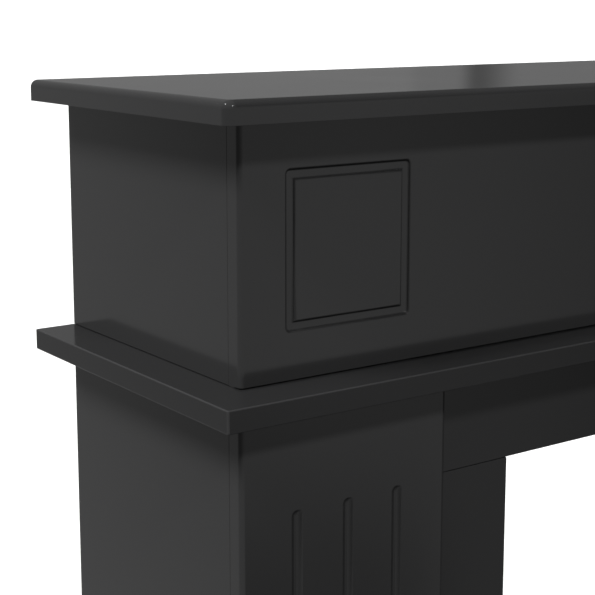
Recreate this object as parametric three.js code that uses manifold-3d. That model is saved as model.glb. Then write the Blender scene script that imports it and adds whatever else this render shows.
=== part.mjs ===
// A free-standing fireplace mantelpiece of flat boards: a shelf, a frieze box with a routed square over
// each leg, a projecting ledge, two fluted legs around the fire opening, and a base board.
// Millimetres, +Z up. The origin is on the floor, at the centre of the outline seen from above.
// The front looks towards -Y and the back edges lie in one plane, which stands against the wall.
import * as THREE from "three";
import { mergeVertices } from "three/addons/utils/BufferGeometryUtils.js";
import Module from "manifold-3d";

const wasm = await Module();
wasm.setup();

// The body, without its overhangs.
const BODY_WIDTH = 1180;
const BODY_DEPTH = 276; // from the face of the front boards to the wall
const LEG_HEIGHT = 744; // from the base board to the ledge
const FRIEZE_HEIGHT = 202; // from the ledge to the shelf
const OPENING_WIDTH = 600;
const LINTEL_HEIGHT = 92;
const PILASTER_WIDTH = 204;

// The boards.
const SHELF_THICKNESS = 18;
const LEDGE_THICKNESS = 18;
const BASE_THICKNESS = 18;
const FRONT_THICKNESS = 16; // the frieze's front board and the two pilasters
const SURROUND_THICKNESS = 16; // the lintel and the jambs, set back behind the pilasters
const SIDE_THICKNESS = 16; // the ends of the frieze and the outer sides of the legs
const RETURN_THICKNESS = 16; // the legs' inner sides, beside the opening
const BACK_RAIL_THICKNESS = 16;
const BACK_RAIL_HEIGHT = 80;

// How far the three horizontal boards stand out past the body.
const SHELF_SIDE_OVERHANG = 35;
const SHELF_FRONT_OVERHANG = 40;
const LEDGE_SIDE_OVERHANG = 37;
const LEDGE_FRONT_OVERHANG = 41;
const BASE_SIDE_OVERHANG = 37;
const BASE_FRONT_OVERHANG = 41;

// Rounded edges.
const SHELF_EDGE_RADIUS = 6.5;
const SHELF_CORNER_RADIUS = 8;
const SLAB_EDGE_RADIUS = 1; // the ledge and the base board
const SLAB_CORNER_RADIUS = 1.6;
const FRONT_EDGE_RADIUS = 4; // the upright edges of the front boards

// Gaps between boards.
const JOINT_GAP = 0.3; // where two boards meet
const SHADOW_GAP = 1.2; // above and below the face of each front board, left by a rebate
const REBATE_DEPTH = 8; // how far those rebates reach back from the face

// The routed square over each leg: its outer size, and the groove's section.
const SQUARE_WIDTH = 122.4;
const SQUARE_HEIGHT = 127.4;
const GROOVE_WIDTH = 10.6;
const GROOVE_DEPTH = 2.3;
const GROOVE_COVE = 3.1; // how far each rounded wall of the groove runs in
const GROOVE_CORNER_RADIUS = 5.3; // of the outer corners; the inner ones are sharp

// The flutes of each pilaster, cut with a round-nosed cutter.
const FLUTE_COUNT = 3;
const FLUTE_SPACING = 50;
const FLUTE_WIDTH = 11.2;
const FLUTE_DEPTH = 2.9;
const FLUTE_END_MARGIN = 86; // from the flutes' ends to the ledge and to the base board

// How finely round stretches are drawn.
const EDGE_SEGMENTS = 4;
const CORNER_SEGMENTS = 6;
const FLUTE_CAP_SEGMENTS = 6;
const FLUTE_RADIAL_SEGMENTS = 24;
const CUTTER_PROUD = 1; // how far a cutter stands out of the face that it cuts

// Places worked out from the sizes above.
const DEPTH = BODY_DEPTH + Math.max(SHELF_FRONT_OVERHANG, LEDGE_FRONT_OVERHANG, BASE_FRONT_OVERHANG);
const WALL_Y = DEPTH / 2;
const FRONT_Y = WALL_Y - BODY_DEPTH;
const FRONT_BACK_Y = FRONT_Y + FRONT_THICKNESS;
const SURROUND_Y = FRONT_BACK_Y + JOINT_GAP;
const SURROUND_BACK_Y = SURROUND_Y + SURROUND_THICKNESS;
const BODY_SIDE_X = BODY_WIDTH / 2;
const INNER_SIDE_X = BODY_SIDE_X - SIDE_THICKNESS;
const OPENING_SIDE_X = OPENING_WIDTH / 2;
const PILASTER_X = BODY_SIDE_X - PILASTER_WIDTH / 2;
const BASE_TOP_Z = BASE_THICKNESS;
const LEDGE_Z = BASE_TOP_Z + LEG_HEIGHT;
const LEDGE_TOP_Z = LEDGE_Z + LEDGE_THICKNESS;
const SHELF_Z = LEDGE_TOP_Z + FRIEZE_HEIGHT;
const LINTEL_Z = LEDGE_Z - LINTEL_HEIGHT;

const foil = { color: 0x3c3c3d, roughness: 0.38, metalness: 0 };
const pressedFoil = new THREE.MeshStandardMaterial(foil);
const shelfFoil = new THREE.MeshStandardMaterial({ ...foil, roughness: 0.3 });
const edgedBoard = new THREE.MeshStandardMaterial({ ...foil, roughness: 0.42 });

// The closed solid of a three.js geometry.
function solidOf(geometry) {
  const loose = geometry.index ? geometry.toNonIndexed() : geometry;
  const bare = new THREE.BufferGeometry().setAttribute("position", loose.getAttribute("position"));
  const merged = mergeVertices(bare, 1e-4);
  return new wasm.Manifold(
    new wasm.Mesh({
      numProp: 3,
      vertProperties: merged.attributes.position.array,
      triVerts: new Uint32Array(merged.index.array),
    }),
  );
}

// The geometry of a solid, with flat faces.
function geometryOf(solid) {
  const mesh = solid.getMesh();
  const geometry = new THREE.BufferGeometry()
    .setAttribute("position", new THREE.BufferAttribute(mesh.vertProperties, 3))
    .setIndex(new THREE.BufferAttribute(mesh.triVerts, 1))
    .toNonIndexed();
  geometry.computeVertexNormals();
  return geometry;
}

// A box given by its lowest and highest corners.
function block(low, high) {
  const size = high.map((value, axis) => value - low[axis]);
  const middle = high.map((value, axis) => (value + low[axis]) / 2);
  return new THREE.BoxGeometry(...size).translate(...middle);
}

// A plain board as a mesh that stands where its corners say.
function board(name, low, high, material) {
  const size = high.map((value, axis) => value - low[axis]);
  const mesh = new THREE.Mesh(new THREE.BoxGeometry(...size), material);
  mesh.name = name;
  mesh.position.set(...high.map((value, axis) => (value + low[axis]) / 2));
  return mesh;
}

// A rectangle with round corners, centred on the origin. A radius of 0 leaves the corners sharp.
function rectangle(width, height, radius, Outline = THREE.Shape) {
  const x = width / 2;
  const y = height / 2;
  const outline = new Outline();
  if (radius === 0) {
    outline.moveTo(-x, -y).lineTo(x, -y).lineTo(x, y).lineTo(-x, y).closePath();
    return outline;
  }
  const corners = [
    [x - radius, -y + radius],
    [x - radius, y - radius],
    [-x + radius, y - radius],
    [-x + radius, -y + radius],
  ];
  corners.forEach(([cx, cy], quarter) => {
    const start = (quarter - 1) * (Math.PI / 2);
    outline.absarc(cx, cy, radius, start, start + Math.PI / 2, false);
  });
  outline.closePath();
  return outline;
}

// An outline extruded along Z from 0 to depth, its edges rounded inwards at both ends.
function roundedPlate(outline, depth, radius) {
  return new THREE.ExtrudeGeometry(outline, {
    depth: depth - 2 * radius,
    bevelThickness: radius,
    bevelSize: radius,
    bevelOffset: -radius,
    bevelSegments: EDGE_SEGMENTS,
    curveSegments: CORNER_SEGMENTS,
  }).translate(0, 0, radius);
}

// A horizontal board that lies from z up, against the wall at its back and out past the body by its
// overhangs. Its edges are rounded above, below too unless topOnly, and never at the wall.
function slab(name, z, thickness, sideOverhang, frontOverhang, edge, corner, topOnly, material) {
  const width = BODY_WIDTH + 2 * sideOverhang;
  const depth = BODY_DEPTH + frontOverhang;
  const spare = 2 * corner; // cut away again at the wall, and below where that edge is sharp
  const below = topOnly ? spare : 0;
  const outline = rectangle(width, depth + spare, corner);
  const plate = roundedPlate(outline, thickness + below, edge).translate(0, spare / 2, -below);
  const kept = block([-width, -depth, 0], [width, depth / 2, thickness]);
  const mesh = new THREE.Mesh(geometryOf(solidOf(plate).intersect(solidOf(kept))), material);
  mesh.name = name;
  mesh.position.set(0, WALL_Y - depth / 2, z);
  return mesh;
}

// A front board, lying with its face up: centred on X and Y, its back at z 0. Its upright edges are
// rounded in front, its upper and lower ends are rebated, and the cutters are taken out of it.
function frontBoard(name, width, height, cutters) {
  const side = width / 2;
  const radius = FRONT_EDGE_RADIUS;
  const start = FRONT_THICKNESS - radius;
  const section = new THREE.Shape().moveTo(-side, 0).lineTo(side, 0);
  section.absarc(side - radius, start, radius, 0, Math.PI / 2, false);
  section.absarc(radius - side, start, radius, Math.PI / 2, Math.PI, false);
  section.closePath();
  const run = { depth: height, bevelEnabled: false, curveSegments: CORNER_SEGMENTS };
  const plate = new THREE.ExtrudeGeometry(section, run).rotateX(Math.PI / 2).translate(0, height / 2, 0);
  let solid = solidOf(plate);
  for (const cutter of [...rebateCutters(width, height), ...cutters]) solid = solid.subtract(solidOf(cutter));
  const mesh = new THREE.Mesh(geometryOf(solid), pressedFoil);
  mesh.name = name;
  return mesh;
}

// The cutters of the rebates along a front board's upper and lower ends.
function rebateCutters(width, height) {
  const face = height / 2 - (SHADOW_GAP - JOINT_GAP);
  const end = height / 2 + CUTTER_PROUD;
  const foot = FRONT_THICKNESS - REBATE_DEPTH;
  const proud = FRONT_THICKNESS + CUTTER_PROUD;
  return [block([-width, face, foot], [width, end, proud]), block([-width, -end, foot], [width, -face, proud])];
}

// Stands a front board upright with its face at FRONT_Y.
function stand(mesh, x, lowZ, highZ) {
  mesh.rotation.x = Math.PI / 2;
  mesh.position.set(x, FRONT_BACK_Y, (lowZ + highZ) / 2);
  return mesh;
}

// The cutter of one routed square: a ring with a flat foot and coved walls.
function squareCutter(x) {
  const ring = rectangle(SQUARE_WIDTH, SQUARE_HEIGHT, GROOVE_CORNER_RADIUS);
  const inside = rectangle(SQUARE_WIDTH - 2 * GROOVE_WIDTH, SQUARE_HEIGHT - 2 * GROOVE_WIDTH, 0, THREE.Path);
  ring.holes.push(inside);
  return new THREE.ExtrudeGeometry(ring, {
    depth: CUTTER_PROUD,
    bevelThickness: GROOVE_DEPTH,
    bevelSize: GROOVE_COVE,
    bevelOffset: -GROOVE_COVE,
    bevelSegments: EDGE_SEGMENTS,
    curveSegments: CORNER_SEGMENTS,
  }).translate(x, 0, FRONT_THICKNESS);
}

// The cutter of one flute, a long capsule whose chord in the face is the flute's outline.
function fluteCutter(x) {
  const radius = (FLUTE_WIDTH ** 2 / 4 + FLUTE_DEPTH ** 2) / (2 * FLUTE_DEPTH);
  const length = LEG_HEIGHT - 2 * FLUTE_END_MARGIN - FLUTE_WIDTH;
  const capsule = new THREE.CapsuleGeometry(radius, length, FLUTE_CAP_SEGMENTS, FLUTE_RADIAL_SEGMENTS);
  return capsule.translate(x, 0, FRONT_THICKNESS - FLUTE_DEPTH + radius);
}

function shelf() {
  return slab(
    "shelf", SHELF_Z, SHELF_THICKNESS, SHELF_SIDE_OVERHANG, SHELF_FRONT_OVERHANG,
    SHELF_EDGE_RADIUS, SHELF_CORNER_RADIUS, true, shelfFoil,
  );
}

function ledge() {
  return slab(
    "ledge", LEDGE_Z, LEDGE_THICKNESS, LEDGE_SIDE_OVERHANG, LEDGE_FRONT_OVERHANG,
    SLAB_EDGE_RADIUS, SLAB_CORNER_RADIUS, false, edgedBoard,
  );
}

function base() {
  return slab(
    "base", 0, BASE_THICKNESS, BASE_SIDE_OVERHANG, BASE_FRONT_OVERHANG,
    SLAB_EDGE_RADIUS, SLAB_CORNER_RADIUS, false, edgedBoard,
  );
}

// The box between the ledge and the shelf: its front board, its ends and the rail at its back.
function frieze() {
  const group = new THREE.Group();
  const lowZ = LEDGE_TOP_Z + JOINT_GAP;
  const highZ = SHELF_Z - JOINT_GAP;
  const squares = [-PILASTER_X, PILASTER_X].map(squareCutter);
  const front = frontBoard("frieze_front", BODY_WIDTH, FRIEZE_HEIGHT - 2 * JOINT_GAP, squares);
  group.add(stand(front, 0, LEDGE_TOP_Z, SHELF_Z));
  const endY = FRONT_BACK_Y + JOINT_GAP;
  for (const [side, sign] of [["left", -1], ["right", 1]]) {
    const [lowX, highX] = [sign * BODY_SIDE_X, sign * INNER_SIDE_X].sort((a, b) => a - b);
    group.add(board(`frieze_end_${side}`, [lowX, endY, lowZ], [highX, WALL_Y, highZ], edgedBoard));
  }
  const railX = INNER_SIDE_X - JOINT_GAP;
  const rail = board(
    "frieze_back_rail",
    [-railX, WALL_Y - BACK_RAIL_THICKNESS, highZ - BACK_RAIL_HEIGHT],
    [railX, WALL_Y, highZ],
    edgedBoard,
  );
  group.add(rail);
  return group;
}

// One leg: its fluted pilaster, its outer side, its jamb and the return beside the opening.
function leg(side, sign) {
  const group = new THREE.Group();
  const lowZ = BASE_TOP_Z + JOINT_GAP;
  const highZ = LEDGE_Z - JOINT_GAP;
  const span = (a, b) => [sign * a, sign * b].sort((p, q) => p - q);

  const middle = (FLUTE_COUNT - 1) / 2;
  const flutes = Array.from({ length: FLUTE_COUNT }, (_, i) => fluteCutter((i - middle) * FLUTE_SPACING));
  const pilaster = frontBoard(`pilaster_${side}`, PILASTER_WIDTH, LEG_HEIGHT - 2 * JOINT_GAP, flutes);
  group.add(stand(pilaster, sign * PILASTER_X, BASE_TOP_Z, LEDGE_Z));

  const [sideLow, sideHigh] = span(BODY_SIDE_X, INNER_SIDE_X);
  const sideY = FRONT_BACK_Y + JOINT_GAP;
  group.add(board(`leg_side_${side}`, [sideLow, sideY, lowZ], [sideHigh, WALL_Y, highZ], edgedBoard));

  const [jambLow, jambHigh] = span(INNER_SIDE_X - JOINT_GAP, OPENING_SIDE_X);
  const jambTop = LINTEL_Z - JOINT_GAP;
  const jamb = board(
    `jamb_${side}`,
    [jambLow, SURROUND_Y, lowZ],
    [jambHigh, SURROUND_BACK_Y, jambTop],
    edgedBoard,
  );
  group.add(jamb);

  const [returnLow, returnHigh] = span(OPENING_SIDE_X, OPENING_SIDE_X + RETURN_THICKNESS);
  const returnY = SURROUND_BACK_Y + JOINT_GAP;
  group.add(board(`leg_return_${side}`, [returnLow, returnY, lowZ], [returnHigh, WALL_Y, highZ], edgedBoard));
  return group;
}

// The board across the top of the opening, which passes behind both pilasters.
function lintel() {
  const x = INNER_SIDE_X - JOINT_GAP;
  const low = [-x, SURROUND_Y, LINTEL_Z];
  const high = [x, SURROUND_BACK_Y, LEDGE_Z - JOINT_GAP];
  return board("lintel", low, high, edgedBoard);
}

const mantelpiece = new THREE.Group();
mantelpiece.add(base(), leg("left", -1), leg("right", 1), lintel(), ledge(), frieze(), shelf());

export default mantelpiece;
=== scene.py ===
"""A fireplace mantelpiece of boards in satin charcoal foil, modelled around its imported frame.

Metres, +Z up. The front looks towards -Y and the back edges stand in one plane, against the wall.
"""

import logging
import math
from collections.abc import Callable, Sequence
from dataclasses import dataclass, field
from enum import Enum

import bmesh
import bpy
from bmesh.types import BMEdge, BMesh, BMVert
from mathutils import Matrix, Vector


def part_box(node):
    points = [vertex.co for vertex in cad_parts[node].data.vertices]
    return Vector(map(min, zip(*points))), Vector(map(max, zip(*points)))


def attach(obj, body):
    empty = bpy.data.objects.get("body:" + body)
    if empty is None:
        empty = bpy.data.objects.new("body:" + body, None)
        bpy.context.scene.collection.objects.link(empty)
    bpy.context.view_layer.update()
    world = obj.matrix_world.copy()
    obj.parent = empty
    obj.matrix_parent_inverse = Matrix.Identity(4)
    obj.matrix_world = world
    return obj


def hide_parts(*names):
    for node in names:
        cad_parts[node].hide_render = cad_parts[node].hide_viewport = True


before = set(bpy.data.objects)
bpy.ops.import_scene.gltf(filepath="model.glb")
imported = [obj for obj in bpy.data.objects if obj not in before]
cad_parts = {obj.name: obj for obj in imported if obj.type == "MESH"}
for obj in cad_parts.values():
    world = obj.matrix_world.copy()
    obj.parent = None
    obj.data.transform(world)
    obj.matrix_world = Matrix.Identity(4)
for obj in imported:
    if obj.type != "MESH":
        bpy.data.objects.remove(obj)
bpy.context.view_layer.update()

LOG = logging.getLogger("mantelpiece")
BODY = "root"
MM = 0.001
TOUCH = 0.01 * MM  # two points nearer than this are one
SHARP_ANGLE = math.radians(40)
WALL_STEPS = 5  # on the shoulder of a routed wall, and as many in its hollow
STRAIGHT = 0.9999  # the least cosine between directions that count as one
ROUND = 0.5  # the profile of a bevel that is a circle's arc
NOISE_MIDDLE = 0.5  # of its range from 0 to 1
WHITE = (1.0, 1.0, 1.0, 1.0)
# The foil's tone is painted lighter on the faces marked here, by painted_edge_highlight: a painted
# highlight along the rounded edges.
EDGE_ATTRIBUTE = "edge"  # 1 on the rounded faces of a board, 0 on its flat ones
BARE_ATTRIBUTE = "bare"  # 1 on the faces without foil, 0 on the others

CHARCOAL = (0.0077, 0.0077, 0.0078)
SMOOTH_CHARCOAL = (0.0069, 0.0069, 0.007)
DEEP_CHARCOAL = (0.0052, 0.0052, 0.0053)


class Axis(Enum):
    """The three directions of the frame."""

    X = 0
    Y = 1
    Z = 2


BACK = Vector((0, 1, 0))
INTO_LEFT_BOX = Vector((1, 0, 0))
ALL_ROUND = tuple(Vector(sign * (axis == i) for i in range(3)) for axis in range(3) for sign in (-1, 1))


class Slot(Enum):
    """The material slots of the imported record."""

    PRESSED = "pressed_foil"
    BOARD = "board_foil"
    SHELF = "shelf_foil"


class Value:
    """A socket of a shader tree, so that shader maths is written as Python expressions."""

    def __init__(self, tree: "Nodes", socket: bpy.types.NodeSocket) -> None:
        """Wraps an output socket.

        Args:
            tree: The node tree that the socket belongs to.
            socket: The output socket.
        """
        self.tree = tree
        self.socket = socket

    def _maths(self, operation: str, *values: "Value | float") -> "Value":
        """Returns the result of one Math node."""
        return self.tree.node("ShaderNodeMath", {"operation": operation}, dict(enumerate(values)))

    def __add__(self, other: "Value | float") -> "Value":
        """Returns the sum."""
        return self._maths("ADD", self, other)

    def __sub__(self, other: "Value | float") -> "Value":
        """Returns the difference."""
        return self._maths("SUBTRACT", self, other)

    def __rsub__(self, other: float) -> "Value":
        """Returns the difference from a number."""
        return self._maths("SUBTRACT", other, self)

    def __mul__(self, other: "Value | float") -> "Value":
        """Returns the product."""
        return self._maths("MULTIPLY", self, other)

    def turn_from(self, other: "Value") -> "Value":
        """Returns the angle, in radians, of the point that lies this far across and the other ahead."""
        return self._maths("ARCTAN2", self, other)

    __radd__ = __add__


class Nodes:
    """A node tree, with one method that makes every node."""

    def __init__(self, tree: bpy.types.NodeTree) -> None:
        """Wraps a node tree.

        Args:
            tree: The tree of a material or of the world.
        """
        self.nodes = tree.nodes
        self.links = tree.links

    def node(
        self,
        kind: str,
        settings: dict[str, object] | None = None,
        inputs: dict[str | int, object] | None = None,
        output: str | int = 0,
    ) -> Value:
        """Makes a node.

        Args:
            kind: The node's type.
            settings: Its settings, which are set before its inputs.
            inputs: The values or links of its sockets, by name or number.
            output: The socket to return, by name or number.

        Returns:
            The wrapped output socket.
        """
        made = self.nodes.new(kind)
        for key, value in (settings or {}).items():
            setattr(made, key, value)
        self.feed(made, inputs or {})
        return Value(self, made.outputs[output])

    def feed(self, node: bpy.types.Node, inputs: dict[str | int, object]) -> None:
        """Sets or links the input sockets of a node.

        Args:
            node: The node.
            inputs: The values or links of its sockets, by name or number.
        """
        for key, value in inputs.items():
            if isinstance(value, Value):
                self.links.new(value.socket, node.inputs[key])
            else:
                node.inputs[key].default_value = value

    def noise(self, place: Value, scale: float, detail: float) -> Value:
        """Returns smooth noise from 0 to 1.

        Args:
            place: The point that the noise is read at.
            scale: Waves per metre.
            detail: How many finer layers the noise has.
        """
        inputs = {"Vector": place, "Scale": scale, "Detail": detail}
        return self.node("ShaderNodeTexNoise", {}, inputs, "Fac")

    def rise(self, value: Value, start: float, end: float) -> Value:
        """Returns 0 up to the start and 1 from the end on, with a smooth rise between them.

        Args:
            value: What is looked up.
            start: The value where the rise starts.
            end: The value where it ends.
        """
        settings = {"interpolation_type": "SMOOTHSTEP"}
        inputs = {"Value": value, "From Min": start, "From Max": end}
        return self.node("ShaderNodeMapRange", settings, inputs)


class Shader(Nodes):
    """A material with one Principled shader."""

    FIRST_COLOUR = 6  # these three are the colour sockets of a Mix node
    SECOND_COLOUR = 7
    MIXED_COLOUR = 2

    def __init__(self, name: str) -> None:
        """Starts the material.

        Args:
            name: The material's name.
        """
        self.material = bpy.data.materials.new(name)
        self.material.use_nodes = True
        super().__init__(self.material.node_tree)
        self.surface = self.nodes["Principled BSDF"]

    def tinted(self, tone: tuple[float, float, float], lightness: Value) -> Value:
        """Returns a colour made lighter or darker.

        Args:
            tone: The linear colour.
            lightness: What it is multiplied by.
        """
        inputs = {0: tone, "Scale": lightness}
        return self.node("ShaderNodeVectorMath", {"operation": "SCALE"}, inputs)

    def mixed(self, share: Value, first: Value, second: Value) -> Value:
        """Returns a mix of two colours.

        Args:
            share: The share of the second colour, from 0 to 1.
            first: The colour where the share is 0.
            second: The colour where it is 1.
        """
        inputs = {0: share, self.FIRST_COLOUR: first, self.SECOND_COLOUR: second}
        return self.node("ShaderNodeMix", {"data_type": "RGBA"}, inputs, self.MIXED_COLOUR)


@dataclass(frozen=True)
class Fibreboard:
    """The bare fibreboard of the faces that get no foil.

    Attributes:
        tone: Its linear colour.
        mottle: How much the tone varies over the board, as a share of it.
        fleck: How much it varies from fibre to fibre.
        roughness: Its roughness.
        fuzz: The height of its fibres, in metres.
    """

    tone: tuple[float, float, float] = (0.27, 0.185, 0.115)
    mottle: float = 0.25
    fleck: float = 0.5
    roughness: float = 0.65
    fuzz: float = 0.03 * MM

    MOTTLE_SCALE = 14.0
    MOTTLE_DETAIL = 3.0
    FLECK_SCALE = 700.0
    FLECK_DETAIL = 2.0

    def lightness(self, shader: Shader, place: Value) -> Value:
        """Returns how light the board is at each point, as a share of its tone."""
        mottle = shader.noise(place, self.MOTTLE_SCALE, self.MOTTLE_DETAIL) - NOISE_MIDDLE
        fleck = self.flecks(shader, place) - NOISE_MIDDLE
        return 1.0 + mottle * self.mottle + fleck * self.fleck

    def flecks(self, shader: Shader, place: Value) -> Value:
        """Returns the pattern of the fibres, from 0 to 1."""
        return shader.noise(place, self.FLECK_SCALE, self.FLECK_DETAIL)


@dataclass(frozen=True)
class Foil:
    """The satin foil of a board.

    Attributes:
        name: Its name.
        slot: The record's material slot; not used.
        tone: The foil's linear colour.
        cloud: How much the tone varies over the board, as a share of it.
        roughness: Its roughness.
        smudge: How much the roughness varies.
        painted_edge_highlight: How much lighter the foil is painted on its rounded faces, as a share: a
            painted highlight along the edges.
        grain: The height of the fine grain, in metres.
        peel: The height of the slow waves in the foil, in metres.
        specular: The strength of its reflections at right angles.
        core: What shows where there is no foil.
    """

    name: str
    slot: Slot
    tone: tuple[float, float, float]
    cloud: float = 0.10
    roughness: float = 0.14
    smudge: float = 0.03
    painted_edge_highlight: float = 0.0
    grain: float = 0.002 * MM
    peel: float = 0.006 * MM
    specular: float = 0.5
    core: Fibreboard = Fibreboard()

    GRAIN_SCALE = 1500.0
    PEEL_SCALE = 70.0
    RELIEF_DETAIL = 1.0
    CLOUD_SCALE = 3.0
    CLOUD_DETAIL = 4.0
    SMUDGE_SCALE = 9.0
    SMUDGE_DETAIL = 3.0

    def material(self) -> bpy.types.Material:
        """Returns the foil as a procedural material."""
        shader = Shader(self.name)
        place = shader.node("ShaderNodeTexCoord", output="Object")
        edge = shader.node("ShaderNodeAttribute", {"attribute_name": EDGE_ATTRIBUTE}, output="Fac")
        bare = shader.node("ShaderNodeAttribute", {"attribute_name": BARE_ATTRIBUTE}, output="Fac")
        cloud = shader.noise(place, self.CLOUD_SCALE, self.CLOUD_DETAIL) - NOISE_MIDDLE
        smudge = shader.noise(place, self.SMUDGE_SCALE, self.SMUDGE_DETAIL) - NOISE_MIDDLE
        grain = shader.noise(place, self.GRAIN_SCALE, self.RELIEF_DETAIL)
        peel = shader.noise(place, self.PEEL_SCALE, self.RELIEF_DETAIL)
        foil_height = grain * self.grain + peel * self.peel
        height = foil_height + bare * self.core.flecks(shader, place) * self.core.fuzz
        bump = shader.node("ShaderNodeBump", inputs={"Strength": 1.0, "Distance": 1.0, "Height": height})
        # Random clouding of the tone, plus a painted highlight on the rounded faces by
        # painted_edge_highlight.
        lightness = 1.0 + cloud * self.cloud + edge * self.painted_edge_highlight
        foil_tone = shader.tinted(self.tone, lightness)
        bare_tone = shader.tinted(self.core.tone, self.core.lightness(shader, place))
        tone = shader.mixed(bare, foil_tone, bare_tone)
        foil_roughness = self.roughness + smudge * self.smudge
        roughness = foil_roughness + bare * (self.core.roughness - foil_roughness)
        shader.feed(shader.surface, {
            "Base Color": tone,
            "Roughness": roughness,
            "Normal": bump,
            "Specular IOR Level": self.specular,
        })
        return shader.material


@dataclass
class Board:
    """One board, modelled in the place of its solid, with softened edges.

    Attributes:
        node: The name of the solid that the board stands for.
        foil: Its finish.
        material: The material made from that finish.
        softening: The radius of its square edges.
        bare: The directions in which its faces have no foil.
    """

    node: str
    foil: Foil
    material: bpy.types.Material
    softening: float = 0.6 * MM
    bare: Sequence[Vector] = (BACK,)

    SOFT_SEGMENTS = 2

    def __post_init__(self) -> None:
        """Reads the board's place from the frame."""
        self.low, self.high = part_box(self.node)

    def blank(self) -> BMesh:
        """Returns a square-edged blank that fills the board's box."""
        mesh = bmesh.new()
        size = self.high - self.low
        place = Matrix.Translation((self.high + self.low) / 2) @ Matrix.Diagonal((*size, 1))
        bmesh.ops.create_cube(mesh, size=1, matrix=place)
        return mesh

    def shape(self) -> BMesh:
        """Returns the board's finished form."""
        mesh = self.blank()
        round_edges(mesh, list(mesh.edges), self.softening, self.SOFT_SEGMENTS)
        return mesh

    def build(self) -> bpy.types.Object:
        """Models the board, dresses it and puts it into the frame.

        Returns:
            The finished piece.
        """
        mesh = self.shape()
        bmesh.ops.recalc_face_normals(mesh, faces=mesh.faces)
        mark_faces(mesh, self.bare)
        data = bpy.data.meshes.new(f"{self.node}_board")
        mesh.to_mesh(data)
        mesh.free()
        data.shade_smooth()
        data.set_sharp_from_angle(angle=SHARP_ANGLE)
        data.materials.append(self.material)
        piece = bpy.data.objects.new(data.name, data)
        bpy.context.scene.collection.objects.link(piece)
        shading = piece.modifiers.new("flat faces stay flat", "WEIGHTED_NORMAL")
        shading.keep_sharp = True
        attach(piece, BODY)
        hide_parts(self.node)
        LOG.info("%s stands for %s: %d faces", piece.name, self.node, len(data.polygons))
        return piece


@dataclass
class Slab(Board):
    """A horizontal board that stands out past the body on three sides and ends square at the wall.

    Attributes:
        corner_radius: The radius of its two front corners, seen from above.
        top_radius: The radius of its upper edge.
        bottom_radius: The radius of its lower edge.
    """

    corner_radius: float = 1.6 * MM
    top_radius: float = 1.0 * MM
    bottom_radius: float = 1.0 * MM

    CORNER_SEGMENTS = 8
    RIM_SEGMENTS = 6

    def shape(self) -> BMesh:
        """Returns the slab with its corners and its rims rounded."""
        mesh = self.blank()
        corners = [e for e in mesh.edges if runs_along(e, Axis.Z) and lies_at(e, Axis.Y, self.low.y)]
        round_edges(mesh, corners, self.corner_radius, self.CORNER_SEGMENTS)
        for level, radius in ((self.high.z, self.top_radius), (self.low.z, self.bottom_radius)):
            rim = [e for e in mesh.edges if lies_at(e, Axis.Z, level)]
            seen_rim = [e for e in rim if not lies_at(e, Axis.Y, self.high.y)]
            round_edges(mesh, seen_rim, radius, self.RIM_SEGMENTS)
        return mesh


@dataclass(frozen=True)
class Flute:
    """A round-nosed groove with round ends, cut upright into the face of a board.

    Attributes:
        axis_x: The place of its axis.
        face_y: The face that it is cut into.
        low_z: Its lower end.
        high_z: Its upper end.
        width: Its width in the face.
        depth: Its depth.
        shoulder: The radius over which the foil turns down into it.
    """

    axis_x: float
    face_y: float
    low_z: float
    high_z: float
    width: float = 11.2 * MM
    depth: float = 2.9 * MM
    shoulder: float = 1.4 * MM

    RIM_POINTS = 24

    def nose_end(self, point: Vector) -> Vector:
        """Returns the centre of the round end that is nearer to a point."""
        radius = self.width / 2
        upper = point.z > (self.low_z + self.high_z) / 2
        return Vector((self.axis_x, self.face_y, self.high_z - radius if upper else self.low_z + radius))

    def outline(self, mesh: BMesh) -> list[BMEdge]:
        """Draws the flute's outline in the face.

        Args:
            mesh: The board.

        Returns:
            The outline's edges.
        """
        half_step = math.pi / self.RIM_POINTS
        middle = Vector((self.axis_x, self.face_y, (self.low_z + self.high_z) / 2))
        upright = Matrix.Rotation(math.pi / 2, 4, "X") @ Matrix.Rotation(half_step, 4, "Z")
        radius = self.width / 2 / math.cos(half_step)
        place = Matrix.Translation(middle) @ upright
        made = bmesh.ops.create_circle(mesh, radius=radius, segments=self.RIM_POINTS, matrix=place)
        ring = made["verts"]
        for vert in ring:
            vert.co += self.nose_end(vert.co) - middle
        return edges_between(ring)

    def carve(self, mesh: BMesh, outline: list[BMEdge]) -> None:
        """Sinks the outline into the board, down to the line of the cutter's nose.

        Args:
            mesh: The board.
            outline: The edges of the flute's outline.
        """
        half_width = self.width / 2
        start = half_width
        for run, sunk in soft_wall(half_width, self.depth, self.shoulder):
            reach = half_width - run
            share = reach / start

            def narrowed(point: Vector) -> Vector:
                """Draws a point towards the axis and down to this step's depth."""
                centre = self.nose_end(point)
                drawn = centre + (point - centre) * share
                drawn.y = self.face_y + sunk
                return drawn

            outline = draw_in(mesh, outline, narrowed)
            start = max(reach, TOUCH)


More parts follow.
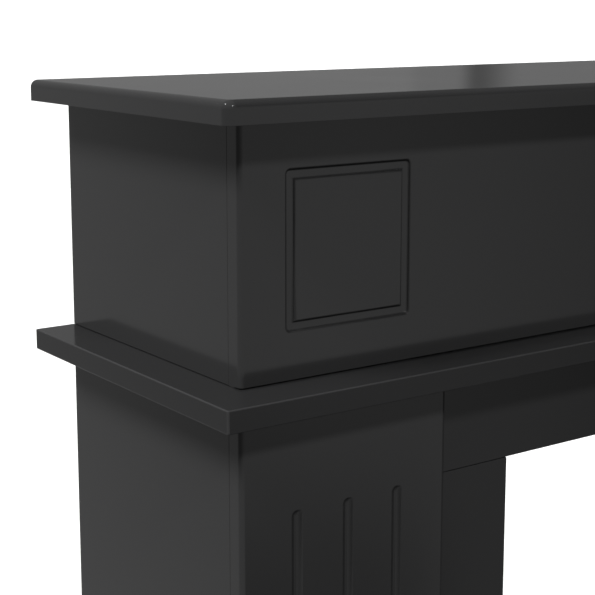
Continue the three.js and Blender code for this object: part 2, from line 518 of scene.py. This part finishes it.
@dataclass(frozen=True)
class RoutedSquare:
    """A square frame routed into the face of a board, with a flat foot and soft walls.

    Attributes:
        centre: The centre of the square, in the face.
        width: Its outer width.
        height: Its outer height.
        groove: The width of the groove.
        depth: The depth of the groove.
        run: How far each wall of the groove runs in.
        shoulder: The radius over which the foil turns down into the groove.
        corner: The radius of the groove's outer corners.
    """

    centre: Vector
    width: float = 122.4 * MM
    height: float = 127.4 * MM
    groove: float = 10.6 * MM
    depth: float = 2.3 * MM
    run: float = 3.1 * MM
    shoulder: float = 1.6 * MM
    corner: float = 5.3 * MM

    CORNER_SEGMENTS = 8

    def rectangle(self, mesh: BMesh, inset: float) -> list[BMVert]:
        """Draws a rectangle in the face, filled with one face.

        Args:
            mesh: The board.
            inset: How far it lies inside the square's outer size.

        Returns:
            Its corners.
        """
        size = Matrix.Diagonal((self.width - 2 * inset, self.height - 2 * inset, 1, 1))
        upright = Matrix.Rotation(math.pi / 2, 4, "X")
        place = Matrix.Translation(self.centre) @ upright @ size
        return bmesh.ops.create_grid(mesh, x_segments=1, y_segments=1, size=0.5, matrix=place)["verts"]

    def outline(self, mesh: BMesh) -> list[BMEdge]:
        """Draws the square's outline in the face, with round corners.

        Args:
            mesh: The board.

        Returns:
            The outline's edges.
        """
        corners = self.rectangle(mesh, 0.0)
        bmesh.ops.bevel(
            mesh, geom=corners, offset=self.corner, offset_type="OFFSET", segments=self.CORNER_SEGMENTS,
            profile=ROUND, affect="VERTICES", material=-1,
        )
        panel = nearest_face(mesh, self.centre)
        edges = list(panel.edges)
        bmesh.ops.delete(mesh, geom=[panel], context="FACES_ONLY")
        return edges

    def carve(self, mesh: BMesh, outline: list[BMEdge]) -> None:
        """Sinks the outline to the groove's foot, and raises the square's middle out of it again.

        Args:
            mesh: The board.
            outline: The edges of the square's outline.
        """
        steps = soft_wall(self.run, self.depth, self.shoulder)
        outer = outline
        before = 0.0
        for run, deep in steps:
            share = (self.corner - run) / (self.corner - before)

            def tightened(point: Vector) -> Vector:
                """Draws a point of a round corner towards the corner's centre, and down."""
                across = math.copysign(self.width / 2 - self.corner, point.x - self.centre.x)
                along = math.copysign(self.height / 2 - self.corner, point.z - self.centre.z)
                pivot = self.centre + Vector((across, 0, along))
                drawn = pivot + (point - pivot) * share
                drawn.y = self.centre.y + deep
                return drawn

            outer = draw_in(mesh, outer, tightened)
            before = run
        inner = edges_between(self.rectangle(mesh, self.groove))
        half_width = self.width / 2 - self.groove
        half_height = self.height / 2 - self.groove
        for out, deep in steps:

            def widened(point: Vector) -> Vector:
                """Moves a corner of the middle outwards, and down."""
                across = math.copysign(half_width + out, point.x - self.centre.x)
                along = math.copysign(half_height + out, point.z - self.centre.z)
                return self.centre + Vector((across, deep, along))

            inner = draw_in(mesh, inner, widened)
        bmesh.ops.triangle_fill(mesh, use_beauty=True, use_dissolve=False, edges=outer + inner)


@dataclass
class FrontBoard(Board):
    """A board whose face is pressed with foil over its upright edges and over what is routed into it.

    Attributes:
        edge_radius: The radius of its upright edges in front.
        rebate: How far the rebates along its upper and lower ends reach back from its face.
        lip: The height of those rebates, which leave a dark gap above and below its face.
        cuts: What is routed into the face.
    """

    edge_radius: float = 4 * MM
    rebate: float = 8 * MM
    lip: float = 0.9 * MM
    cuts: Sequence[Flute | RoutedSquare] = field(default_factory=list)

    EDGE_SEGMENTS = 8

    def blank(self) -> BMesh:
        """Returns the board's section with its two rebates, drawn out along its width."""
        mesh = bmesh.new()
        step = self.low.y + self.rebate
        over_lip = self.low.z + self.lip
        half = [(self.high.y, self.low.z), (step, self.low.z), (step, over_lip), (self.low.y, over_lip)]
        other_half = [(y, 2 * self.middle_z() - z) for y, z in reversed(half)]
        section = mesh.faces.new([mesh.verts.new((self.low.x, y, z)) for y, z in half + other_half])
        drawn = bmesh.ops.extrude_face_region(mesh, geom=[section])["geom"]
        ends = [item for item in drawn if isinstance(item, BMVert)]
        bmesh.ops.translate(mesh, verts=ends, vec=(self.high.x - self.low.x, 0, 0))
        return mesh

    def shape(self) -> BMesh:
        """Returns the board with its rounded edges and its cuts."""
        mesh = self.blank()
        corners = [e for e in mesh.edges if runs_along(e, Axis.Z) and lies_at(e, Axis.Y, self.low.y)]
        round_edges(mesh, corners, self.edge_radius, self.EDGE_SEGMENTS)
        face = nearest_face(mesh, Vector(((self.low.x + self.high.x) / 2, self.low.y, self.middle_z())))
        rim = list(face.edges)
        bmesh.ops.delete(mesh, geom=[face], context="FACES_ONLY")
        outlines = [cut.outline(mesh) for cut in self.cuts]
        loops = rim + [edge for outline in outlines for edge in outline]
        bmesh.ops.triangle_fill(mesh, use_beauty=True, use_dissolve=False, edges=loops)
        for cut, outline in zip(self.cuts, outlines):
            cut.carve(mesh, outline)
        bmesh.ops.remove_doubles(mesh, verts=mesh.verts, dist=TOUCH)
        return mesh

    def middle_z(self) -> float:
        """Returns the height of the board's middle."""
        return (self.low.z + self.high.z) / 2


def runs_along(edge: BMEdge, axis: Axis) -> bool:
    """Tells whether an edge is parallel to an axis."""
    reach = edge.verts[1].co - edge.verts[0].co
    return abs(reach[axis.value]) > reach.length - TOUCH


def lies_at(edge: BMEdge, axis: Axis, level: float) -> bool:
    """Tells whether both ends of an edge lie at one level of an axis."""
    return all(abs(vert.co[axis.value] - level) < TOUCH for vert in edge.verts)


def edges_between(verts: Sequence[BMVert]) -> list[BMEdge]:
    """Returns the edges that join the given points to each other."""
    members = set(verts)
    found = {edge for vert in verts for edge in vert.link_edges if members.issuperset(edge.verts)}
    return sorted(found, key=lambda edge: edge.index)


def nearest_face(mesh: BMesh, point: Vector) -> bmesh.types.BMFace:
    """Returns the face whose middle is nearest to a point."""
    return min(mesh.faces, key=lambda face: (face.calc_center_bounds() - point).length)


def round_edges(mesh: BMesh, edges: list[BMEdge], radius: float, segments: int) -> None:
    """Rounds edges.

    Args:
        mesh: The board.
        edges: The edges.
        radius: The radius of the rounding.
        segments: How many facets it has.
    """
    bmesh.ops.bevel(
        mesh, geom=edges, offset=radius, offset_type="OFFSET", segments=segments, profile=ROUND,
        affect="EDGES", clamp_overlap=True, material=-1,
    )


def soft_wall(run: float, depth: float, shoulder: float) -> list[tuple[float, float]]:
    """Returns the steps of a routed wall, which turns down over a shoulder and out again in a hollow.

    Args:
        run: How far the wall runs in.
        depth: How deep it goes.
        shoulder: The radius of its shoulder. The hollow gets the radius that meets it without a kink.

    Returns:
        How far each step runs in and how deep it lies, from the first one below the face.
    """
    slope = 2 * math.atan2(depth, run)
    hollow = run / math.sin(slope) - shoulder
    turns = [slope * step / WALL_STEPS for step in range(1, WALL_STEPS + 1)]
    over = [(shoulder * math.sin(turn), shoulder * (1 - math.cos(turn))) for turn in turns]
    back = [slope - turn for turn in turns]
    out = [(run - hollow * math.sin(turn), depth - hollow * (1 - math.cos(turn))) for turn in back]
    return over + out


def draw_in(mesh: BMesh, loop: list[BMEdge], place: Callable[[Vector], Vector]) -> list[BMEdge]:
    """Extrudes a loop of edges and moves its new points.

    Args:
        mesh: The board.
        loop: The edges of the loop.
        place: Gives the new place of a point of the loop.

    Returns:
        The edges of the new loop.
    """
    made = bmesh.ops.extrude_edge_only(mesh, edges=loop)["geom"]
    ends = [item for item in made if isinstance(item, BMVert)]
    for vert in ends:
        vert.co = place(vert.co)
    return edges_between(ends)


def mark_faces(mesh: BMesh, bare: Sequence[Vector]) -> None:
    """Marks the faces between two axes, on the rounded edges, where a foil may be painted lighter as a
    highlight, and the bare faces.

    Args:
        mesh: The board.
        bare: The directions in which its faces have no foil.
    """
    edge_layer = mesh.faces.layers.float.new(EDGE_ATTRIBUTE)
    bare_layer = mesh.faces.layers.float.new(BARE_ATTRIBUTE)
    for face in mesh.faces:
        straightness = max(abs(part) for part in face.normal)
        face[edge_layer] = 0.0 if straightness > STRAIGHT else 1.0
        face[bare_layer] = 1.0 if any(face.normal.dot(way) > STRAIGHT for way in bare) else 0.0


@dataclass
class Mantel:
    """The whole mantelpiece: its slabs, its frieze box, its two legs and its lintel.

    Attributes:
        pressed: The foil of the front boards.
        plain: The foil of the square-edged boards of the body.
        dark: The darker and duller foil of the ledge and the base, with a painted highlight along its
            rounded edges.
        infill: The dark foil of the lintel and the jambs.
        smooth: The foil of the shelf.
        shelf_corner: The radius of the shelf's front corners, seen from above.
        shelf_upper_edge: The radius of the shelf's upper edge.
        shelf_lower_edge: The radius of the shelf's lower edge.
        flute_count: How many flutes each pilaster has.
        flute_spacing: The distance from one flute to the next.
        flute_margin: The distance from the flutes' ends to the boards above and below.
    """

    pressed: Foil = Foil("pressed_foil", Slot.PRESSED, CHARCOAL)
    plain: Foil = Foil("board_foil", Slot.BOARD, CHARCOAL)
    # The ledge and the base get a painted highlight along their rounded edges, through
    # painted_edge_highlight.
    dark: Foil = Foil("matt_board_foil", Slot.BOARD, DEEP_CHARCOAL, painted_edge_highlight=0.9, specular=0.3)
    infill: Foil = Foil("infill_foil", Slot.BOARD, DEEP_CHARCOAL, specular=0.42)
    smooth: Foil = Foil("shelf_foil", Slot.SHELF, SMOOTH_CHARCOAL)
    shelf_corner: float = 8 * MM
    shelf_upper_edge: float = 6.5 * MM
    shelf_lower_edge: float = 0.2 * MM
    flute_count: int = 3
    flute_spacing: float = 50 * MM
    flute_margin: float = 86 * MM

    def __post_init__(self) -> None:
        """Makes the materials."""
        foils = (self.pressed, self.plain, self.dark, self.infill, self.smooth)
        self.materials = {foil.name: foil.material() for foil in foils}

    def board(self, kind: type[Board], node: str, foil: Foil, **sizes: object) -> bpy.types.Object:
        """Builds one board.

        Args:
            kind: The kind of board.
            node: The solid that it stands for.
            foil: Its finish.
            **sizes: The sizes that this board has of its own.

        Returns:
            The finished piece.
        """
        return kind(node, foil, self.materials[foil.name], **sizes).build()

    def slabs(self) -> None:
        """Builds the shelf, the ledge and the base board."""
        self.board(
            Slab, "shelf", self.smooth, corner_radius=self.shelf_corner,
            top_radius=self.shelf_upper_edge, bottom_radius=self.shelf_lower_edge,
        )
        self.board(Slab, "ledge", self.dark)
        self.board(Slab, "base", self.dark)

    def frieze(self) -> None:
        """Builds the box between the ledge and the shelf, with a routed square over each leg."""
        low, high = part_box("frieze_front")
        middle_z = (low.z + high.z) / 2
        squares = []
        for leg in ("pilaster_left", "pilaster_right"):
            leg_low, leg_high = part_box(leg)
            squares.append(RoutedSquare(Vector(((leg_low.x + leg_high.x) / 2, low.y, middle_z))))
        self.board(FrontBoard, "frieze_front", self.pressed, cuts=squares)
        self.board(Board, "frieze_end_left", self.plain, bare=(BACK, INTO_LEFT_BOX))
        self.board(Board, "frieze_end_right", self.plain, bare=(BACK, -INTO_LEFT_BOX))
        self.board(Board, "frieze_back_rail", self.plain, bare=ALL_ROUND)

    def leg(self, side: str) -> None:
        """Builds one leg: its fluted pilaster, its outer side, its jamb and its inner side.

        Args:
            side: The leg's side, left or right.
        """
        low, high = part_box(f"pilaster_{side}")
        middle_x = (low.x + high.x) / 2
        under_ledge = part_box("ledge")[0].z - self.flute_margin
        over_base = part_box("base")[1].z + self.flute_margin
        first_x = middle_x - (self.flute_count - 1) / 2 * self.flute_spacing
        places = [first_x + i * self.flute_spacing for i in range(self.flute_count)]
        flutes = [Flute(place_x, low.y, over_base, under_ledge) for place_x in places]
        self.board(FrontBoard, f"pilaster_{side}", self.pressed, cuts=flutes)
        inwards = INTO_LEFT_BOX if side == "left" else -INTO_LEFT_BOX
        self.board(Board, f"leg_side_{side}", self.plain, bare=(BACK, inwards))
        self.board(Board, f"jamb_{side}", self.infill)
        self.board(Board, f"leg_return_{side}", self.plain, bare=(BACK, -inwards))

    def build(self) -> None:
        """Builds every board."""
        self.slabs()
        self.frieze()
        self.leg("left")
        self.leg("right")
        self.board(Board, "lintel", self.infill)


@dataclass(frozen=True)
class SoftSun:
    """A soft light from far away, which lights the whole floor alike.

    Attributes:
        name: Its name.
        azimuth: Where it comes from, in degrees to the left of the front, seen from above.
        elevation: Its height over the horizon, in degrees.
        spread: How wide it is in the sky, in degrees.
        strength: Its irradiance, in watts per square metre.
        shines: Whether the foil reflects it.
    """

    name: str
    azimuth: float
    elevation: float
    spread: float
    strength: float
    shines: bool = True

    def place(self) -> None:
        """Puts the light into the scene."""
        light = bpy.data.lights.new(self.name, "SUN")
        light.angle = math.radians(self.spread)
        light.energy = self.strength
        lamp = bpy.data.objects.new(self.name, light)
        lamp.rotation_euler = direction(self.azimuth, self.elevation).to_track_quat("Z", "Y").to_euler()
        lamp.visible_glossy = self.shines
        bpy.context.scene.collection.objects.link(lamp)


def direction(azimuth: float, elevation: float) -> Vector:
    """Returns the direction from the mantelpiece to a light or a camera around it.

    Args:
        azimuth: Degrees to the left of the front, seen from above.
        elevation: Degrees above the horizon.
    """
    turn = math.radians(azimuth)
    rise = math.radians(elevation)
    return Vector((-math.sin(turn) * math.cos(rise), -math.cos(turn) * math.cos(rise), math.sin(rise)))


@dataclass(frozen=True)
class Room:
    """The plain grey room that lights the mantelpiece and that its foil reflects.

    Attributes:
        below: The brightness below the horizon.
        gain_x: How much brighter it is there towards +X.
        gain_y: How much brighter it is there towards +Y.
        dim_start: The heading where a dim part of it starts, in degrees to the right of the front.
        dim_full: The heading from which it is dimmest.
        dim_end: The heading up to which it is dimmest.
        dim_over: The heading where it ends.
        dim_share: The brightness of the dim part, as a share.
        near: The brightness of the floor near the front, as a share of the floor further off.
        near_start: The elevation where that floor starts to darken, as a sine.
        near_end: The elevation where it is darkest, as a sine.
        near_from: The heading where that floor starts, in degrees to the right of the front.
        near_fully: The heading from which it is darkest.
        near_turn: The heading where it ends.
        above: The brightness above the horizon.
        fade: The elevation up to which the floor's light fades out in front, as a sine.
        ceiling: The brightness of the ceiling to the right, as a share of the walls'.
        ceiling_start: The elevation where the walls end, as a sine.
        ceiling_end: The elevation where the ceiling starts.
        ceiling_near: How far towards +X the light part of the ceiling reaches, as a cosine.
        ceiling_far: How far towards +X its dark part starts.
        panel_turn: The heading of the edge between two light panels behind, in degrees from +Y to +X.
        panel_share: The brightness of the panel to the right of it, as a share.
        gap_start: The heading where the dark gap beside that panel starts.
        gap_middle: The heading where it is darkest.
        gap_end: The heading where it ends.
        gap_share: The brightness of the gap, as a share.
    """

    below: float = 0.345
    gain_x: float = 0.18
    gain_y: float = 0.006
    dim_start: float = 34.0
    dim_full: float = 58.0
    dim_end: float = 80.0
    dim_over: float = 110.0
    dim_share: float = 0.12
    near: float = 0.2
    near_start: float = -0.25
    near_end: float = -0.43
    near_from: float = 0.0
    near_fully: float = 25.0
    near_turn: float = 41.2
    above: float = 0.22
    fade: float = 0.42
    ceiling: float = 0.25
    ceiling_start: float = 0.26
    ceiling_end: float = 0.36
    ceiling_near: float = 0.3
    ceiling_far: float = 0.55
    panel_turn: float = 39.7
    panel_share: float = 0.87
    gap_start: float = 41.4
    gap_middle: float = 42.2
    gap_end: float = 44.0
    gap_share: float = 0.4

    PANEL_BLUR = 0.4  # degrees to each side of the edge
    HORIZON_BLUR = 0.01  # a sine

    def band(self, room: Nodes, heading: Value, turns: Sequence[float]) -> Value:
        """Returns 1 inside a band of headings and 0 outside it, with smooth ends.

        Args:
            room: The tree of the world.
            heading: The heading of each direction, in radians.
            turns: Where the band starts, is full, starts to end and is over, in degrees.
        """
        start, full, end, over = (math.radians(turn) for turn in turns)
        return room.rise(heading, start, full) - room.rise(heading, end, over)

    def floor_light(self, room: Nodes, x: Value, y: Value, z: Value) -> Value:
        """Returns the brightness of the room below the horizon, in each direction."""
        plain = self.below + x * self.gain_x + y * self.gain_y
        heading = x.turn_from(y * -1)
        dim_turns = (self.dim_start, self.dim_full, self.dim_end, self.dim_over)
        dim = self.band(room, heading, dim_turns)
        near_turns = (self.near_from, self.near_fully, self.near_turn - self.PANEL_BLUR, self.near_turn)
        ahead = self.band(room, heading, near_turns)
        nearness = room.rise(z * -1, -self.near_start, -self.near_end) * ahead
        return plain * (1 - dim * (1 - self.dim_share)) * (1 - nearness * (1 - self.near))

    def wall_light(self, room: Nodes, heading: Value, x: Value, z: Value) -> Value:
        """Returns the brightness of the room above the horizon, in each direction."""
        edge = math.radians(self.panel_turn)
        blur = math.radians(self.PANEL_BLUR)
        panel = 1 - room.rise(heading, edge - blur, edge + blur) * (1 - self.panel_share)
        gap_turns = (self.gap_start, self.gap_middle, self.gap_middle, self.gap_end)
        gap = self.band(room, heading, gap_turns)
        overhead = room.rise(z, self.ceiling_start, self.ceiling_end)
        dark = overhead * room.rise(x, self.ceiling_near, self.ceiling_far)
        return panel * (1 - gap * (1 - self.gap_share)) * (1 - dark * (1 - self.ceiling)) * self.above

    def build(self) -> None:
        """Makes the world."""
        world = bpy.data.worlds.new("room")
        world.use_nodes = True
        room = Nodes(world.node_tree)
        ray = room.node("ShaderNodeTexCoord", output="Generated")
        x, y, z = (room.node("ShaderNodeSeparateXYZ", inputs={0: ray}, output=i) for i in range(3))
        heading = x.turn_from(y)
        behind = room.rise(y, -self.HORIZON_BLUR, self.HORIZON_BLUR)
        up_behind = room.rise(z, -self.HORIZON_BLUR, self.HORIZON_BLUR) * behind
        up = up_behind + room.rise(z, -self.HORIZON_BLUR, self.fade) * (1 - behind)
        light = self.floor_light(room, x, y, z) * (1 - up) + self.wall_light(room, heading, x, z) * up
        room.feed(room.nodes["Background"], {"Strength": light, "Color": WHITE})
        bpy.context.scene.world = world


@dataclass(frozen=True)
class Studio:
    """A plain pale floor, soft lights, a pale backdrop all round and the camera.

    Attributes:
        room: The room around the mantelpiece.
        suns: The soft lights.
        floor_tone: The floor's linear grey.
        floor_glow: How much the floor shines by itself, where white is 1.
        floor_radius: The radius of the floor and of the backdrop.
        backdrop_height: The height of the backdrop.
        backdrop_tone: The backdrop's linear grey.
        backdrop_glow: How much it shines by itself, where white is 1.
        camera_place: The camera's place from the frieze's front left corner, on the ledge.
        camera_turn: The camera's heading, in degrees to the right of straight at the front.
        camera_tilt: How far it looks down, in degrees.
        focal_length: Its lens, in millimetres.
        camera_shift: The lens shift up, as a share of the frame.
    """

    room: Room = Room()
    suns: tuple[SoftSun, ...] = (
        SoftSun("key", azimuth=5, elevation=39.2, spread=6.5, strength=5.3, shines=False),
        SoftSun("left", azimuth=87, elevation=51, spread=18, strength=13.0, shines=False),
        SoftSun("left rear", azimuth=112, elevation=58, spread=20, strength=1.9, shines=False),
        SoftSun("right", azimuth=-95, elevation=18, spread=30, strength=3.7, shines=False),
        SoftSun("back", azimuth=185, elevation=18, spread=30, strength=3.2, shines=False),
        SoftSun("key glint", azimuth=5, elevation=39.2, spread=4, strength=0.3),
        SoftSun("left glint", azimuth=118, elevation=49, spread=4, strength=0.3),
    )
    floor_tone: float = 0.12
    floor_glow: float = 0.8
    floor_radius: float = 40.0
    backdrop_height: float = 30.0
    backdrop_tone: float = 0.0
    backdrop_glow: float = 1.3
    camera_place: Vector = Vector((-0.5638, -0.8757, 0.2881))
    camera_turn: float = 35.13
    camera_tilt: float = 9.88
    focal_length: float = 87.0
    camera_shift: float = -0.08

    SIDES = 96
    SENSOR_WIDTH = 36.0  # millimetres

    def corner(self) -> Vector:
        """Returns the frieze's front left corner, on top of the ledge."""
        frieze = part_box("frieze_front")[0]
        return Vector((frieze.x, frieze.y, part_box("ledge")[1].z))

    def set_piece(self, name: str, mesh: BMesh, tone: float, glow: float) -> bpy.types.Object:
        """Makes a piece of the set, which shows but neither lights the mantelpiece nor shines in its foil.

        Args:
            name: Its name.
            mesh: Its mesh, which is used up.
            tone: Its linear grey.
            glow: How much it shines by itself, where white is 1.

        Returns:
            The piece.
        """
        data = bpy.data.meshes.new(name)
        mesh.to_mesh(data)
        mesh.free()
        shader = Shader(name)
        shader.feed(shader.surface, {
            "Base Color": (tone, tone, tone, 1.0),
            "Roughness": 1.0,
            "Specular IOR Level": 0.0,
            "Emission Color": WHITE,
            "Emission Strength": glow,
        })
        data.materials.append(shader.material)
        piece = bpy.data.objects.new(name, data)
        piece.visible_diffuse = False
        piece.visible_glossy = False
        piece.visible_shadow = False
        bpy.context.scene.collection.objects.link(piece)
        return piece

    def floor(self) -> None:
        """Lays the floor."""
        mesh = bmesh.new()
        bmesh.ops.create_circle(mesh, cap_ends=True, segments=self.SIDES, radius=self.floor_radius)
        self.set_piece("floor", mesh, self.floor_tone, self.floor_glow)

    def backdrop(self) -> None:
        """Stands a backdrop all round."""
        mesh = bmesh.new()
        place = Matrix.Translation((0, 0, self.backdrop_height / 2))
        bmesh.ops.create_cone(
            mesh, segments=self.SIDES, radius1=self.floor_radius, radius2=self.floor_radius,
            depth=self.backdrop_height, matrix=place,
        )
        self.set_piece("backdrop", mesh, self.backdrop_tone, self.backdrop_glow)

    def lights(self) -> None:
        """Sets up the lights and the room."""
        for sun in self.suns:
            sun.place()
        self.room.build()

    def camera(self) -> None:
        """Sets up the camera at the photograph's viewing angle."""
        data = bpy.data.cameras.new("camera")
        data.sensor_width = self.SENSOR_WIDTH
        data.lens = self.focal_length
        data.shift_y = self.camera_shift
        camera = bpy.data.objects.new("camera", data)
        camera.location = self.corner() + self.camera_place
        ahead = -direction(self.camera_turn, self.camera_tilt)
        camera.rotation_euler = ahead.to_track_quat("-Z", "Y").to_euler()
        bpy.context.scene.collection.objects.link(camera)
        bpy.context.scene.camera = camera

    def build(self) -> None:
        """Sets up the whole studio."""
        bpy.context.scene.view_settings.view_transform = "Standard"
        self.camera()
        self.floor()
        self.backdrop()
        self.lights()


def main() -> None:
    """Builds the studio and the mantelpiece."""
    logging.basicConfig(level=logging.INFO, format="%(message)s")
    Studio().build()
    Mantel().build()


if __name__ == "__main__":
    main()
